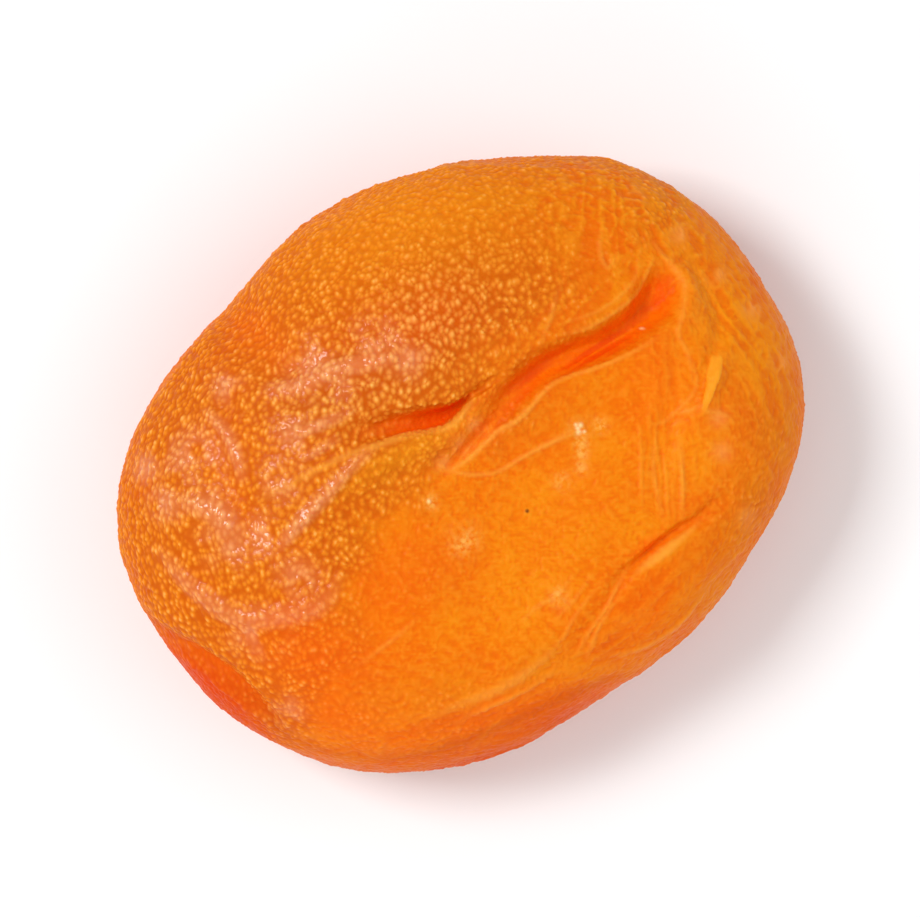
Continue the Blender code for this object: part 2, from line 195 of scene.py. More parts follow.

# Thin raised lines that catch the light, with painted highlight along them, as (x, y, height, reach)
HIGHLIGHTED_RIDGES = (
    # the furrow's lower lip
    ((13.8, 0.7, 0, 0.25), (12.4, 0.65, 0.04, 0.25), (10.8, 0.7, 0.07, 0.25), (9.3, 0.9, 0.08, 0.25),
     (8.0, 1.2, 0.08, 0.25), (6.9, 1.3, 0.08, 0.25), (5.8, 1.05, 0.09, 0.25), (4.6, 0.6, 0.1, 0.3),
     (3.6, 0.4, 0.12, 0.3), (2.6, 0.45, 0.12, 0.3), (0.9, 0.0, 0.12, 0.3), (-0.3, -0.2, 0.1, 0.3),
     (-1.4, -0.3, 0, 0.3)),
    # the furrow's upper lip
    ((15.6, 5.0, 0, 0.25), (14.8, 4.5, 0.06, 0.25), (13.5, 3.75, 0.07, 0.22), (10.8, 3.4, 0.07, 0.22),
     (8.5, 3.8, 0, 0.22)),
    ((14.9, 5.6, 0, 0.2), (13.6, 4.5, 0.05, 0.2), (11.2, 4.0, 0.05, 0.2), (8.4, 4.5, 0, 0.2)),
    # the tongue's upper edge
    ((2.4, 2.95, 0, 0.25), (1.6, 2.45, 0.1, 0.3), (0.3, 2.05, 0.14, 0.35), (-1.1, 2.4, 0.14, 0.35),
     (-2.5, 2.85, 0.14, 0.35), (-4.0, 3.1, 0.12, 0.35), (-5.5, 3.4, 0.1, 0.35), (-8.9, 3.6, 0.08, 0.4),
     (-12.0, 3.7, 0, 0.4)),
    # the fine ridge below the furrow, with its hooked end
    ((6.8, -1.8, 0, 0.3), (5.5, -1.7, 0.1, 0.3), (3.4, -1.6, 0.1, 0.25), (1.2, -1.6, 0.08, 0.25),
     (-0.6, -0.6, 0.08, 0.25), (-1.7, 0.9, 0, 0.25)),
    # the branches of the flake, and the fine ridges that meet it
    ((14.0, -3.9, 0, 0.25), (13.0, -4.0, 0.08, 0.25), (11.9, -3.6, 0, 0.2)),
    ((13.4, -4.2, 0, 0.25), (14.3, -4.8, 0.07, 0.25), (15.1, -5.7, 0, 0.2)),
    ((15.9, 6.2, 0, 0.2), (16.1, 4.9, 0.06, 0.25), (16.5, 3.0, 0.07, 0.25), (16.2, 2.2, 0.05, 0.25),
     (15.4, 1.2, 0.06, 0.25), (14.6, 0.3, 0.06, 0.25), (14.5, -1.2, 0.05, 0.22), (13.8, -3.2, 0, 0.2)),
    ((14.6, -0.7, 0, 0.2), (14.1, -2.9, 0.05, 0.22), (11.8, -3.8, 0.05, 0.22), (10.3, -3.6, 0, 0.2)),
    ((10.9, -3.8, 0, 0.2), (9.4, -6.1, 0.06, 0.25), (8.4, -9.4, 0, 0.25)),
    ((12.0, -4.7, 0, 0.2), (10.9, -6.9, 0.06, 0.25), (9.2, -9.8, 0, 0.25)),
    ((10.1, 6.5, 0, 0.25), (8.4, 4.9, 0.06, 0.25), (6.8, 3.6, 0, 0.2)),
    # the edge of the lower fold, and the lines that go on from it
    ((10.8, -9.95, 0, 0.2), (10.0, -10.15, 0.06, 0.2), (9.2, -10.3, 0.1, 0.24), (8.4, -10.45, 0.14, 0.3),
     (7.6, -10.6, 0.17, 0.34), (6.8, -10.7, 0.15, 0.32), (5.9, -10.8, 0.06, 0.24), (5.1, -11.0, 0, 0.2)),
    ((5.4, -10.45, 0, 0.2), (4.3, -11.0, 0.06, 0.22), (3.1, -11.8, 0.07, 0.22), (1.5, -12.6, 0.06, 0.22),
     (0.1, -13.5, 0, 0.2)),
    ((3.9, -10.1, 0, 0.2), (1.3, -11.2, 0.05, 0.22), (0.1, -12.0, 0.05, 0.22), (-1.4, -12.6, 0, 0.2)),
    ((4.4, -11.4, 0, 0.2), (2.6, -12.3, 0.06, 0.22), (1.4, -13.2, 0.05, 0.22), (0.3, -14.2, 0, 0.2)),
    ((3.6, -9.4, 0, 0.2), (1.6, -10.4, 0.05, 0.22), (0.0, -10.9, 0, 0.2)),
    ((0.0, -12.2, 0, 0.3), (-1.9, -12.7, 0.07, 0.4), (-4.6, -12.9, 0.08, 0.5), (-6.9, -12.6, 0.06, 0.4),
     (-9.5, -12.4, 0, 0.3)),
    ((-0.6, -13.4, 0, 0.2), (-3.0, -13.8, 0.05, 0.22), (-5.6, -13.6, 0.06, 0.25), (-8.6, -13.4, 0, 0.2)),
    ((8.6, -13.7, 0, 0.2), (10.4, -13.2, 0.05, 0.22), (12.2, -12.7, 0, 0.2)),
    ((1.4, -14.0, 0, 0.2), (3.5, -14.9, 0.06, 0.25), (6.1, -14.8, 0.06, 0.25), (8.2, -14.1, 0.05, 0.22),
     (10.6, -12.9, 0, 0.2)),
    ((2.5, -9.0, 0, 0.25), (1.0, -9.6, 0.06, 0.25), (-0.4, -9.7, 0.06, 0.25), (-2.0, -10.1, 0, 0.25)),
    ((-11.5, -7.6, 0, 0.25), (-9.1, -7.3, 0.06, 0.25), (-6.5, -6.8, 0, 0.25)),
    # arcs beside the furrow's right end
    ((13.7, 8.0, 0, 0.25), (12.9, 7.0, 0.06, 0.25), (12.8, 5.9, 0.06, 0.25), (14.0, 6.5, 0, 0.25)),
)
# Their painted highlight is palest from this height on
RIDGE_HIGHLIGHT_FROM = 0.12

# A yellow flake with a flat top that stands up beside the furrow's right end
FLAKE_FLATNESS = 0.55
FLAKE = (
    (16.15, -1.85, 0, 0.36), (15.75, -2.3, 0.13, 0.4), (14.75, -3.3, 0.12, 0.32), (13.95, -4.05, 0.08, 0.22),
    (13.45, -4.55, 0, 0.15),
)

# Straight fine wrinkles side by side: ends of the first one, then how far each lies across from it
STRAIGHT_FROM = (11.8, -3.1)
STRAIGHT_TO = (8.9, -8.7)
STRAIGHT_SPACES = (-1.5, -1.0, -0.45, 0.0, 0.5, 0.85, 1.6)
STRAIGHT_HEIGHT = 0.08

# Fields of fine wrinkles side by side: middle, radii, turn of the field and of its wrinkles in
# degrees, the space between two wrinkles, and their height
Field = namedtuple("Field", "x y long short turn heading space height")

WRINKLE_FIELDS = (
    Field(x=12.6, y=-3.0, long=5.5, short=2.6, turn=61, heading=61, space=0.42, height=0.05),
    Field(x=17.4, y=-1.0, long=7.0, short=2.2, turn=84, heading=88, space=0.5, height=0.07),
    Field(x=13.0, y=7.4, long=4.2, short=2.8, turn=62, heading=64, space=0.5, height=0.08),
    Field(x=9.0, y=4.9, long=5.0, short=1.2, turn=-2, heading=14, space=0.42, height=0.05),
    Field(x=4.0, y=-13.4, long=10.0, short=1.8, turn=6, heading=8, space=0.5, height=0.06),
    Field(x=-10.0, y=-13.0, long=6.0, short=2.0, turn=-22, heading=-20, space=0.55, height=0.05),
    Field(x=-1.5, y=-9.0, long=4.5, short=4.0, turn=30, heading=34, space=0.7, height=0.02),
    Field(x=3.5, y=-3.0, long=8.0, short=3.4, turn=8, heading=20, space=0.6, height=0.015),
    Field(x=9.5, y=2.1, long=6.5, short=0.9, turn=0, heading=2, space=0.4, height=0.07),
    Field(x=1.6, y=0.9, long=3.2, short=1.3, turn=20, heading=24, space=0.4, height=0.07),
)
# Their length, how far they bend over what distance, and the share at which a field ends
WRINKLE_SEED = 21
WRINKLE_LENGTH = 5.0
WRINKLE_BEND = 0.56
WRINKLE_BEND_SIZE = 4.0
FIELD_EDGE = 0.03

# Wrinkles that wind like a maze: their places on the upper face, and the share of them below the rim
MAZE_PLACES = (
    Swell(x=15.5, y=8.0, long=6.5, short=3.0, turn=-52, height=1.0),
    Swell(x=19.2, y=-1.0, long=6.0, short=1.8, turn=88, height=0.9),
)
MAZE_SPACE = 0.7
MAZE_HEIGHT = 0.08
MAZE_BELOW = 0.5

# The share of a fine wrinkle's height that is taken off again, so that grooves lie beside it
WRINKLE_SINK = 0.6

# Long wrinkles round the sides: length, space between two, height
SIDE_WRINKLES = ((6.0, 1.7, 0.2), (3.0, 0.8, 0.07))

# Where the pebbled skin has its broad sheen, glossier and with painted pinkish sheen in its colour, and
# patches of painted pinkish sheen elsewhere: middle and radius
GLOSS_AND_SHEEN_PATCHES = (
    (-1.1, 8.2, 1.4), (0.1, 6.8, 1.0), (-5.1, 9.0, 1.4), (-4.5, 7.4, 0.9), (-7.9, 6.1, 1.0),
    (-10.0, 10.4, 0.9), (-13.8, 7.6, 1.6), (-9.8, 4.1, 1.1), (-16.5, 6.2, 1.0), (-14.4, 2.5, 1.3),
    (-12.3, 1.8, 1.1), (-13.9, 4.7, 0.9), (-16.7, 8.6, 0.8), (-12.0, -1.5, 1.2), (-15.5, -3.0, 1.3),
    (-16.2, -8.0, 0.8),
)
PINK_SHEEN_PATCHES = (
    (18.5, 2.2, 0.5), (19.3, -0.6, 0.45), (19.2, -4.1, 0.45), (14.3, -5.2, 0.5), (13.5, -7.0, 0.55),
    (17.6, 5.4, 0.45), (16.4, 8.6, 0.4), (13.0, -11.2, 0.6), (0.3, 0.7, 0.6), (1.5, 1.3, 0.5),
    (-1.1, 0.4, 0.5),
)

# Pale flecks of dried sugar as middle, radius and how many grains, faint pale bloom, and dark specks
FLECKS = ((6.9, -1.75, 0.34, 8), (-3.0, -1.2, 0.1, 1), (13.4, 1.6, 0.1, 1))
BLOOM = (
    (6.9, -1.9, 0.6), (6.5, -2.5, 0.4), (6.2, -3.1, 0.4), (5.8, -3.8, 0.4), (4.4, -4.1, 0.5),
    (-2.9, -1.3, 0.4), (-2.3, -4.1, 0.8), (1.0, -9.8, 0.5), (8.0, -2.2, 0.4),
)
SPECKS = ((1.8, -4.5, 0.12),)
GRAIN_RADII = (0.07, 0.17)
FLECK_HEIGHT = 0.07

# The pocket's floor, painted a deeper red than the furrow's as painted shade: middle and radius
POCKET_SHADE_PLACES = ((1.3, 3.0, 0.9), (-0.2, 3.1, 1.0))

# The pebbled skin ends along this line, with the pebbles on its right, and fades out between two
# distances from it
PEBBLE_FADE = (-2.0, 1.8)
PEBBLE_EDGE = (
    (19.0, 6.4), (16.0, 6.8), (12.0, 4.6), (6.0, 3.4), (3.0, 1.2), (-1.0, -0.6), (-5.6, -1.0),
    (-8.4, -3.0), (-11.2, -5.8), (-13.6, -8.2), (-16.6, -11.0),
)
# More pebbled places beyond it: middle, radius, and how strongly they are pebbled
PEBBLED_PLACES = (
    (-12.5, -10.5, 2.6, 0.6), (-8.5, -13.5, 3.0, 0.5), (-3.0, -15.0, 2.6, 0.35), (13.4, -10.6, 2.4, 0.45),
    (16.6, -7.4, 2.2, 0.35), (18.0, 4.5, 2.4, 0.3), (-5.0, -4.5, 2.5, 0.25), (6.9, -1.9, 0.9, 0.3),
)
# Places where the pebbles are faint
CALM_PLACES = (
    Swell(x=13.4, y=7.4, long=3.6, short=3.0, turn=60, height=0.7),
    Swell(x=9.0, y=12.0, long=5.0, short=3.0, turn=-20, height=0.4),
    Swell(x=1.5, y=15.0, long=6.0, short=3.0, turn=0, height=0.35),
    Swell(x=9.2, y=4.3, long=5.0, short=1.0, turn=-3, height=0.6),
    Swell(x=2.0, y=1.4, long=2.2, short=1.1, turn=25, height=0.55),
)
# Where the pebbles' painted highlights are palest and the painted shade in their gaps is darkest
SHARP_CONTRAST_PLACES = (
    Swell(x=0.8, y=7.8, long=5.5, short=2.8, turn=14, height=0.9),
    Swell(x=-6.0, y=7.6, long=3.0, short=2.4, turn=0, height=0.5),
)
# Places where the skin is yellower: partly its own tone, partly painted light on the tongue's shaded slope
# and along the right rim
GOLDEN_TONE_AND_LIGHT_PLACES = (
    Swell(x=5.0, y=13.5, long=8.0, short=4.0, turn=-8, height=0.35),
    # the tongue: painted light on its shaded slope
    Swell(x=-3.0, y=1.9, long=4.2, short=0.8, turn=0, height=0.5),
    Swell(x=18.4, y=0.4, long=6.0, short=1.6, turn=88, height=0.45),
    Swell(x=15.8, y=8.8, long=4.0, short=2.0, turn=-50, height=0.4),
    Swell(x=4.0, y=-4.4, long=3.4, short=1.8, turn=10, height=0.2),
    Swell(x=8.0, y=-10.5, long=1.9, short=0.4, turn=6, height=0.6),
    Swell(x=-4.5, y=-12.8, long=3.0, short=0.6, turn=-4, height=0.4),
)
# Places where it is redder: partly its own tone, partly painted shade in dents and painted light bounced from
# neighbouring fruit along the lower rim
RUDDY_TONE_AND_SHADE_PLACES = (
    Swell(x=5.3, y=-13.0, long=3.2, short=1.7, turn=9, height=0.6),
    Swell(x=7.2, y=-9.8, long=1.1, short=0.45, turn=8, height=1.0),
    Swell(x=2.6, y=1.3, long=2.2, short=0.8, turn=25, height=0.6),
    Swell(x=12.0, y=-2.6, long=2.6, short=1.8, turn=60, height=0.3),
    Swell(x=-6.0, y=-4.4, long=4.5, short=2.0, turn=20, height=0.3),
    Swell(x=-13.6, y=-5.7, long=3.6, short=2.4, turn=-40, height=0.65),
    Swell(x=-5.0, y=-14.4, long=6.5, short=1.5, turn=-10, height=0.7),
    Swell(x=-13.0, y=-10.8, long=3.6, short=1.8, turn=-40, height=0.6),
    Swell(x=2.5, y=8.2, long=3.6, short=2.2, turn=0, height=0.3),
)
# The line between the upper face and the smooth band below it, which is painted red-orange as shade and
# light bounced from neighbouring fruit, with a darker painted shade line along the line itself: x, y and
# how strong it is. The band comes in between two distances and two heights on the sphere.
HEM_LINE = (
    (-21.4, 1.8, 0.0), (-20.8, 0.3, 0.7), (-19.7, -2.0, 1.0), (-18.5, -4.4, 1.0), (-17.7, -6.7, 0.9),
    (-16.6, -10.2, 0.6), (-12.4, -13.3, 0.6), (-8.4, -14.6, 0.8), (-4.3, -15.0, 0.8), (0.0, -15.4, 0.6),
    (4.0, -16.4, 0.0),
)
HEM_REACH = 4.0
HEM_FADE = (-0.4, 1.2)
HEM_HEIGHTS = (-0.3, 0.15)
SEAM_SHADE_WIDTH = 0.35

# The pebbles: the space between two, the heading along which they are drawn out and how far, how little
# their distance straight out of the skin counts, and how much their places are bent
PEBBLE_SEED = 5
PEBBLE_SPACE = 0.37
PEBBLE_HEADING = (0.5, 0.866, 0.0)
PEBBLE_STRETCH = 1.25
PEBBLE_FLATNESS = 0.35
PEBBLE_WARP = 0.15
# Their height, and the share of it that stays where the skin is even or lies deep in a crease
PEBBLE_HEIGHT = 0.12
PEBBLE_LEAST = 0.06
PEBBLE_LEAST_DEEP = 0.25
# A pebble's radius in spaces and its share of the height, each as the least and what chance adds
PEBBLE_RADIUS = (0.56, 0.22)
PEBBLE_RISE = (0.6, 0.4)

# The skin's grit, made of many waves in space, and a broader unevenness
GRAIN_SEED = 8
GRAIN_SPACES = (0.22, 0.9)
GRAIN_HEIGHT = 0.02
GRAIN_WARP = 0.2
RIPPLE_WAVES = 48
WARP_SIZE = 0.9
UNEVEN_HEIGHT = 0.05

# An uneven share of the skin, by smooth noise: the size of its patches, the noise at which the share is
# 0 and 1, and how far the noise is moved from the others
Mottle = namedtuple("Mottle", "size low high shift", defaults=(0.0,))

PEBBLED_BELOW = Mottle(size=6.0, low=-0.5, high=0.5)
LARGER_PEBBLES = Mottle(size=3.0, low=-0.5, high=0.5)
BROKEN_SHEEN = Mottle(size=0.9, low=-0.65, high=0.15, shift=90.0)
RAGGED_FLECKS = Mottle(size=0.3, low=-0.5, high=0.1, shift=110.0)

# Heights on the sphere between which the skin turns redder towards the hidden face, as painted light bounced
# from neighbouring fruit and painted shade, and how uneven that is
UNDER_SHADE_FADE = (-0.45, 0.25)
UNDER_SHADE_UNEVEN = 0.25

# Low soft folds of the pebbled skin, glossier and with painted pinkish sheen along their crests, as (x, y,
# height, reach)
SOFT_FOLDS = (
    ((-18.4, 4.6, 0, 0.7), (-17.6, 1.4, 0.2, 0.8), (-16.2, -1.5, 0.22, 1.0), (-14.2, -2.6, 0.22, 1.1),
     (-11.4, -3.4, 0.18, 1.0), (-9.2, -2.2, 0, 0.8)),
    ((-12.4, 0.4, 0, 0.6), (-10.6, 1.2, 0.3, 0.7), (-8.2, 2.0, 0.3, 0.7), (-5.6, 2.8, 0.2, 0.6),
     (-4.0, 3.0, 0, 0.5)),
    ((-16.8, 6.4, 0, 0.8), (-14.6, 5.0, 0.3, 1.2), (-14.0, 3.4, 0.35, 1.3), (-15.0, 2.0, 0, 1.0)),
    ((-12.0, 10.2, 0, 0.6), (-11.4, 8.2, 0.28, 0.7), (-11.6, 6.2, 0.25, 0.7), (-12.2, 4.8, 0, 0.6)),
    ((-8.6, 9.4, 0, 0.7), (-6.6, 8.4, 0.3, 0.9), (-4.2, 8.2, 0.3, 0.9), (-1.4, 7.4, 0.25, 0.9),
     (0.8, 7.0, 0, 0.8)),
    ((-9.4, 6.6, 0, 0.5), (-7.8, 6.0, 0.24, 0.6), (-5.8, 5.7, 0.26, 0.6), (-3.8, 5.6, 0, 0.5)),
    ((-8.8, 4.6, 0, 0.5), (-7.2, 4.5, 0.2, 0.5), (-5.4, 4.6, 0, 0.5)),
)
# Their gloss and painted sheen are strongest from this height on
FOLD_SHEEN_FROM = 0.3


def smooth(low, high, value):
    """Rises from 0 at low to 1 at high, level at both ends."""
    share = np.clip((value - low) / (high - low), 0.0, 1.0)
    return share * share * (3 - 2 * share)


def around(values, angle):
    """A smooth closed curve through values given at equal angles, from its first few waves."""
    terms = np.fft.rfft(values) / len(values)
    total = np.full_like(angle, terms[0].real)
    for wave in range(1, min(RIM_WAVES, len(values) // 2)):
        total += 2 * (terms[wave] * np.exp(1j * wave * angle)).real
    return total


def pillow(directions):
    """Points of the plain pillow for unit directions from its middle, and its outward normals."""
    flat = np.hypot(directions[:, 0], directions[:, 1])
    up = directions[:, 2]
    angle = np.arctan2(directions[:, 1], directions[:, 0])
    radius = around(RIM_RADII, angle)
    level = around(RIM_LEVELS, angle)
    power = np.where(up > 0, TOP_ROUNDNESS, UNDER_ROUNDNESS)
    size = (flat**power + np.abs(up) ** power) ** (1 / power)
    across, rise = flat / size, up / size

    # Near the poles the rim's uneven level has no say, so that both faces stay one smooth dome
    middle_level = float(np.mean(RIM_LEVELS))
    level = middle_level + (level - middle_level) * smooth(0.0, 1.0, across)
    height = np.where(up > 0, THICKNESS - level, level + REST_SINK)
    points = np.stack(
        [radius * across * np.cos(angle), radius * across * np.sin(angle), level + height * rise], axis=1
    )
    slope = across ** (power - 1) / radius
    normals = np.stack(
        [slope * np.cos(angle), slope * np.sin(angle), np.sign(up) * np.abs(rise) ** (power - 1) / height],
        axis=1,
    )
    return points, normals / np.linalg.norm(normals, axis=1, keepdims=True)


def lumps(points):
    """Height of the low lumps at each point."""
    draw = np.random.default_rng(LUMP_SEED)
    height = np.zeros(len(points))
    for _ in range(LUMP_WAVES):
        heading = draw.normal(size=3)
        heading /= np.linalg.norm(heading)
        length = draw.uniform(*LUMP_LENGTHS)
        start = draw.uniform(0.0, TURN)
        height += LUMP_HEIGHT * np.sin(TURN * (points @ heading) / length + start)
    return height


def swell(points, form):
    """Height that one swell adds at each point, by its place seen from above."""
    turn = math.radians(form.turn)
    x, y = points[:, 0] - form.x, points[:, 1] - form.y
    along = (x * math.cos(turn) + y * math.sin(turn)) / form.long
    across = (y * math.cos(turn) - x * math.sin(turn)) / form.short
    return form.height * np.exp(-(along**2) - across**2)


def smooth_route(route):
    """Closely spaced points on a smooth curve through the route's own, with depth and reach."""
    fixed = np.array([route[0], *route, route[-1]], dtype=float)
    spots = []
    for a, b, c, d in zip(fixed, fixed[1:], fixed[2:], fixed[3:]):
        for t in np.arange(ROUTE_STEPS) / ROUTE_STEPS:
            bend = (2 * a - 5 * b + 4 * c - d) * t + (3 * b - a - 3 * c + d) * t * t
            spots.append(b + 0.5 * t * (c - a + bend))
    spots.append(fixed[-1])
    return np.array(spots)


def beside_route(points, route):
    """Each point's signed distance to the left of a route, with the values and heading beside it."""
    spots = smooth_route(route)
    steps = np.gradient(spots[:, :2], axis=0)
    offset = points[:, None, :2] - spots[None, :, :2]
    nearest = np.argmin((offset**2).sum(axis=2), axis=1)
    offset = offset[np.arange(len(points)), nearest]
    along = nearest + (offset * steps[nearest]).sum(axis=1) / (steps[nearest] ** 2).sum(axis=1)

    numbers = np.arange(len(spots))
    beside = np.stack([np.interp(along, numbers, column) for column in spots.T], axis=1)
    ahead = np.stack([np.interp(along, numbers, column) for column in steps.T], axis=1)
    ahead /= np.linalg.norm(ahead, axis=1, keepdims=True)
    from_route = points[:, :2] - beside[:, :2]
    side = ahead[:, 0] * from_route[:, 1] - ahead[:, 1] * from_route[:, 0]
    distance = np.copysign(np.hypot(from_route[:, 0], from_route[:, 1]), side)
    return distance, beside[:, 2:], ahead


def near_route(points, form):
    """The numbers of the points that one crease can move."""
    route = np.array(form.route, dtype=float)
    widest = route[:, 3].max() * max(form.above, form.below)
    margin = widest + 3 * LIP_BEYOND * widest * (form.lean > 0)
    low, high = route[:, :2].min(axis=0) - margin, route[:, :2].max(axis=0) + margin
    return np.flatnonzero(((points[:, :2] > low) & (points[:, :2] < high)).all(axis=1))


def crease(points, form):
    """How deep one crease cuts at each point, and how far its upper lip is drawn over it."""
    cut, drawn = np.zeros(len(points)), np.zeros((len(points), 2))
    for some in np.array_split(near_route(points, form), MESH_PARTS):
        if not len(some):
            continue
        distance, values, ahead = beside_route(points[some], form.route)
        depth, reach = values.T
        wall = reach * np.where(distance > 0, form.above, form.below)
        cut[some] = depth * (1 - smooth(form.flat, 1.0, np.abs(distance) / wall))
        from_lip = (distance - wall) / np.where(distance > wall, LIP_BEYOND, LIP_WITHIN) / reach
        draw = form.lean * smooth(0.0, LIP_DEPTH, depth) * np.exp(-(from_lip**2)) * (distance > 0)
        drawn[some] = draw[:, None] * np.stack([ahead[:, 1], -ahead[:, 0]], axis=1)
    return cut, drawn


class Fruit:
    """The fruit's plain places, the masks that follow from them and its moved points."""

    def __init__(self, directions):
        self.directions = directions
        self.plain, self.normals = pillow(directions)
        up = directions[:, 2]
        self.on_top = smooth(*TOP_FADE, up)
        self.under = smooth(*UNDER_FADE, -up)
        from_rest = np.hypot(self.plain[:, 0] / RIM_RADII[0], self.plain[:, 1] / RIM_RADII[6])
        self.beside_rest = np.where(up > 0, 1.0, smooth(*REST_SPREAD, from_rest))
        self.depth = np.zeros(len(directions))
        self.points = self.shaped()
        self.grain = Lattice(GRAIN_SEED)

    def shaped(self):
        """The main form, which is the solid's."""
        points = self.plain.copy()
        lumpy = self.beside_rest * (LUMP_SHARE_ELSEWHERE + (1 - LUMP_SHARE_ELSEWHERE) * self.under)
        points += (lumpy * lumps(self.plain))[:, None] * self.normals
        points[:, 2] += self.on_top * sum(swell(self.plain, form) for form in TOP_SWELLS)
        for forms, mask in ((TOP_CREASES, self.on_top), (UNDER_CREASES, self.under)):
            for form in forms:
                cut, drawn = crease(self.plain, form)
                points -= (mask * cut)[:, None] * self.normals
                points[:, :2] += mask[:, None] * drawn
                self.depth = np.maximum(self.depth, mask * cut)
        degrees = np.degrees(np.arctan2(self.directions[:, 1], self.directions[:, 0]))
        unrolled = np.stack([degrees * RIM_MM_PER_DEGREE, self.plain[:, 2]], axis=1)
        stretch = np.array([RIM_MM_PER_DEGREE, 1.0, 1.0, 1.0])
        for form in SIDE_CREASES:
            cut, _ = crease(unrolled, form._replace(route=form.route * stretch))
            points -= (self.beside_rest * cut)[:, None] * self.normals
        points[:, 2] = np.maximum(points[:, 2], 0.0)
        points[:, :2] -= (points[:, :2].max(axis=0) + points[:, :2].min(axis=0)) / 2
        return points


def ripples(points, spaces, seed):
    """Even winding relief with such spaces between its crests, about 1 at its highest."""
    draw = np.random.default_rng(seed)
    total = np.zeros(len(points))
    for _ in range(RIPPLE_WAVES):
        heading = draw.normal(size=3)
        space = spaces[0] * (spaces[1] / spaces[0]) ** draw.uniform()
        heading *= TURN / (space * np.linalg.norm(heading))
        total += np.sin(points @ heading + draw.uniform(0.0, TURN))
    return total * math.sqrt(1 / RIPPLE_WAVES)


class Lattice:
    """Random numbers fixed to a lattice in space, for smooth noise and for cells."""

    SIZE = 256

    def __init__(self, seed):
        draw = np.random.default_rng(seed)
        self.order = draw.permutation(self.SIZE)
        self.values = draw.random((self.SIZE, 4))

    def at(self, corner):
        """The four random values of each lattice corner."""
        number = corner[:, 0] % self.SIZE
        for column in (1, 2):
            number = (self.order[number] + corner[:, column]) % self.SIZE
        return self.values[self.order[number]]

    def noise(self, points, size):
        """Smooth noise from -1 to 1 with lumps of that size."""
        scaled = points / size
        low = np.floor(scaled).astype(int)
        share = scaled - low
        share = share * share * (3 - 2 * share)
        total = np.zeros(len(points))
        for corner in np.ndindex(2, 2, 2):
            weight = np.prod(np.where(corner, share, 1 - share), axis=1)
            total += weight * self.at(low + corner)[:, 0]
        return 2 * total - 1

    def cells(self, points, normals, size):
        """How far each point is from the nearest cell's middle in cell sizes, and that cell's number.

        Distance straight out of the surface counts for less, so that most cells show at full size."""
        scaled = points / size
        low = np.floor(scaled).astype(int)
        nearest = np.full(len(points), 9.0)
        lot = np.zeros(len(points))
        for step in np.ndindex(3, 3, 3):
            corner = low + np.array(step) - 1
            values = self.at(corner)
            offset = scaled - corner - values[:, :3]
            outward = (offset * normals).sum(axis=1)
            away = (offset**2).sum(axis=1) - (1 - PEBBLE_FLATNESS) * outward**2
            lot = np.where(away < nearest, values[:, 3], lot)
            nearest = np.minimum(nearest, away)
        return np.sqrt(nearest), lot


def mottled(fruit, mottle):
    """An uneven share from 0 to 1 at each point."""
    return smooth(mottle.low, mottle.high, fruit.grain.noise(fruit.plain + mottle.shift, mottle.size))


def inside_pebble_edge(fruit):
    """How far each point lies on the pebbled side of the edge, which is uneven."""
    route = [(x, y, 0.0, 1.0) for x, y in PEBBLE_EDGE]
    outside = np.zeros(len(fruit.plain))
    for some in np.array_split(np.arange(len(fruit.plain)), MESH_PARTS):
        outside[some], _, _ = beside_route(fruit.plain[some], route)
    uneven = 1.8 * fruit.grain.noise(fruit.plain, 3.4) + 0.9 * fruit.grain.noise(fruit.plain + 20.0, 1.1)
    return uneven - outside


def pebbled(fruit, band):
    """From 0 to 1, how strongly each point is pebbled, which is less on the band below the hem."""
    share = smooth(*PEBBLE_FADE, inside_pebble_edge(fruit))
    for x, y, radius, strength in PEBBLED_PLACES:
        share = np.maximum(share, strength * patches(fruit.plain, ((x, y, radius),)))
    share *= 1 - spread(fruit, CALM_PLACES)
    below = 0.25 + 0.5 * mottled(fruit, PEBBLED_BELOW)
    return (share * fruit.on_top + below * (1 - fruit.on_top)) * (1 - 0.3 * band)


def pebbles(fruit, normals, warp, pebbly):
    """Height of the pebbles at each point, and how near it is to the top of one, from 0 to 1."""
    heading = np.array(PEBBLE_HEADING)
    stretched = fruit.points + (fruit.points @ heading * (1 / PEBBLE_STRETCH - 1))[:, None] * heading
    away, lot = Lattice(PEBBLE_SEED).cells(stretched + PEBBLE_WARP * warp, normals, PEBBLE_SPACE)
    radius = PEBBLE_RADIUS[0] + PEBBLE_RADIUS[1] * lot
    dome = (1 - smooth(0.0, radius, away)) * (PEBBLE_RISE[0] + PEBBLE_RISE[1] * lot)
    calm = 1 - (1 - PEBBLE_LEAST_DEEP) * smooth(0.3, 1.2, fruit.depth)
    size = 0.75 + 0.5 * mottled(fruit, LARGER_PEBBLES)
    return PEBBLE_HEIGHT * (PEBBLE_LEAST + (1 - PEBBLE_LEAST) * pebbly) * calm * size * dome, dome


def wrinkled(fruit):
    """Height of the fine wrinkles at each point."""
    bend = WRINKLE_BEND * Lattice(WRINKLE_SEED).noise(fruit.plain, WRINKLE_BEND_SIZE)
    height = np.zeros(len(fruit.plain))
    for number, field in enumerate(WRINKLE_FIELDS):
        share = swell(fruit.plain, Swell(field.x, field.y, field.long, field.short, field.turn, 1.0))
        some = np.flatnonzero(share > FIELD_EDGE)
        heading = math.radians(field.heading)
        x, y = fruit.plain[some, 0], fruit.plain[some, 1]
        along = x * math.cos(heading) + y * math.sin(heading)
        across = y * math.cos(heading) - x * math.sin(heading) + bend[some]
        grid = np.stack([across / field.space, along / WRINKLE_LENGTH, np.full(len(some), 0.5)], axis=1)
        crest = 1 - np.abs(Lattice(WRINKLE_SEED + number).noise(grid, 1.0))
        height[some] += field.height * share[some] * (crest**2 - WRINKLE_SINK)
    return height * fruit.on_top


